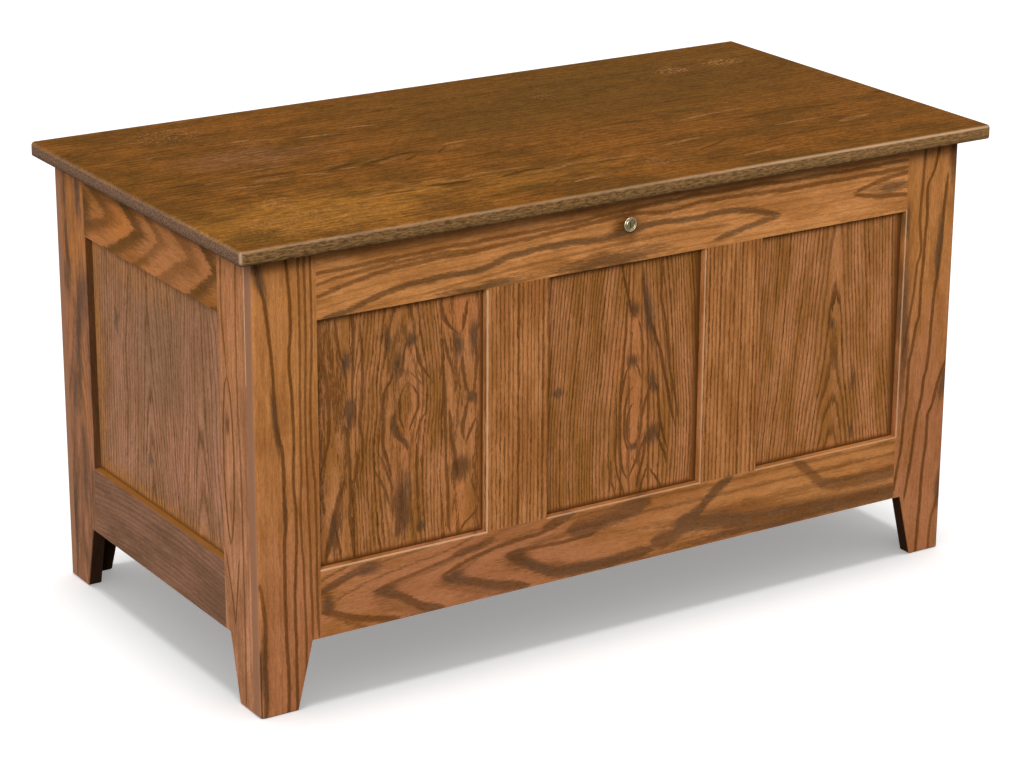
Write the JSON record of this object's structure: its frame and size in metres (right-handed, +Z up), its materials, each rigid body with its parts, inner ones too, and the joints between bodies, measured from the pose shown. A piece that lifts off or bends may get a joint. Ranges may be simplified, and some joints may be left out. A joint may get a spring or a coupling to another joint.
{
  "type": "blanket chest",
  "caption": "Oak blanket chest with frame-and-panel sides on tapered feet, a flat lid on butt hinges, slotted lid stays, a hook-cam lock and a floor on cleats.",
  "frame": {"origin": "on the floor, at the middle of the closed chest's width and depth", "axes": "+X to the chest's right-hand side seen from the front, +Y to the back, where the hinges are, +Z up"},
  "size_m": [1.118, 0.588, 0.605],
  "materials": {
    "body_oak": "stained and waxed oak, satin",
    "lid_oak": "stained and waxed oak, darker, satin",
    "inside_oak": "oak with a thin stain, matt",
    "lock_brass": "aged brass, satin",
    "hinge_brass": "satin brass",
    "hardware_steel": "zinc-plated steel, satin",
    "fastener_steel": "plated steel screws and studs"
  },
  "bodies": {
    "chest": {"back_bottom_rail": "body_oak", "back_mullion_left": "body_oak", "back_mullion_right": "body_oak", "back_panel_left": "body_oak", "back_panel_middle": "body_oak", "back_panel_right": "body_oak", "back_stile_left": "body_oak", "back_stile_right": "body_oak", "back_top_rail": "body_oak", "floor_cleat_back": "inside_oak", "floor_cleat_front": "inside_oak", "floor_cleat_left": "inside_oak", "floor_cleat_right": "inside_oak", "floor_panel": "inside_oak", "front_bottom_rail": "body_oak", "front_mullion_left": "body_oak", "front_mullion_right": "body_oak", "front_panel_left": "body_oak", "front_panel_middle": "body_oak", "front_panel_right": "body_oak", "front_stile_left": "body_oak", "front_stile_right": "body_oak", "front_top_rail": "body_oak", "hinge_body_screws": "fastener_steel", "hinge_left_body_leaf": "hinge_brass", "hinge_pins": "hinge_brass", "hinge_right_body_leaf": "hinge_brass", "left_bottom_rail": "body_oak", "left_panel": "body_oak", "left_stile_back": "body_oak", "left_stile_front": "body_oak", "left_top_rail": "body_oak", "lock_housing": "lock_brass", "lock_nut": "hardware_steel", "right_bottom_rail": "body_oak", "right_panel": "body_oak", "right_stile_back": "body_oak", "right_stile_front": "body_oak", "right_top_rail": "body_oak", "stay_studs": "fastener_steel"},
    "lid": {"lid": "lid_oak", "lid_batten_left": "inside_oak", "lid_batten_right": "inside_oak", "lid_batten_screws": "fastener_steel", "hinge_left_lid_leaf": "hinge_brass", "hinge_right_lid_leaf": "hinge_brass", "hinge_lid_screws": "fastener_steel", "stay_bracket_left": "hardware_steel", "stay_bracket_right": "hardware_steel", "stay_bracket_screws": "fastener_steel", "stay_pivots": "fastener_steel", "lock_keeper": "hardware_steel", "lock_keeper_pin": "hardware_steel", "lock_keeper_screws": "fastener_steel"},
    "stay_left": {"stay_arm_left": "hardware_steel"},
    "stay_right": {"stay_arm_right": "hardware_steel"},
    "lock": {"lock_plug": "lock_brass", "lock_cam": "hardware_steel", "lock_cam_screw": "fastener_steel"}
  },
  "joints": [
    {"name": "lid_hinge", "type": "hinge", "parent": "chest", "child": "lid", "pos_m": [0, 0.2904, 0.586], "axis": [-1, 0, 0], "range_deg": [0, 95]},
    {"name": "stay_left_pivot", "type": "hinge", "parent": "lid", "child": "stay_left", "pos_m": [-0.506, 0.1404, 0.572], "axis": [1, 0, 0], "range_deg": [0, 47.5]},
    {"name": "stay_right_pivot", "type": "hinge", "parent": "lid", "child": "stay_right", "pos_m": [0.506, 0.1404, 0.572], "axis": [1, 0, 0], "range_deg": [0, 47.5]},
    {"name": "lock_turn", "type": "hinge", "parent": "chest", "child": "lock", "pos_m": [0, -0.265, 0.546], "axis": [0, -1, 0], "range_deg": [0, 90]}
  ],
  "couplings": [
    {"joint": "stay_left_pivot", "follows": "lid_hinge", "ratio": 0.5},
    {"joint": "stay_right_pivot", "follows": "lid_hinge", "ratio": 0.5}
  ]
}
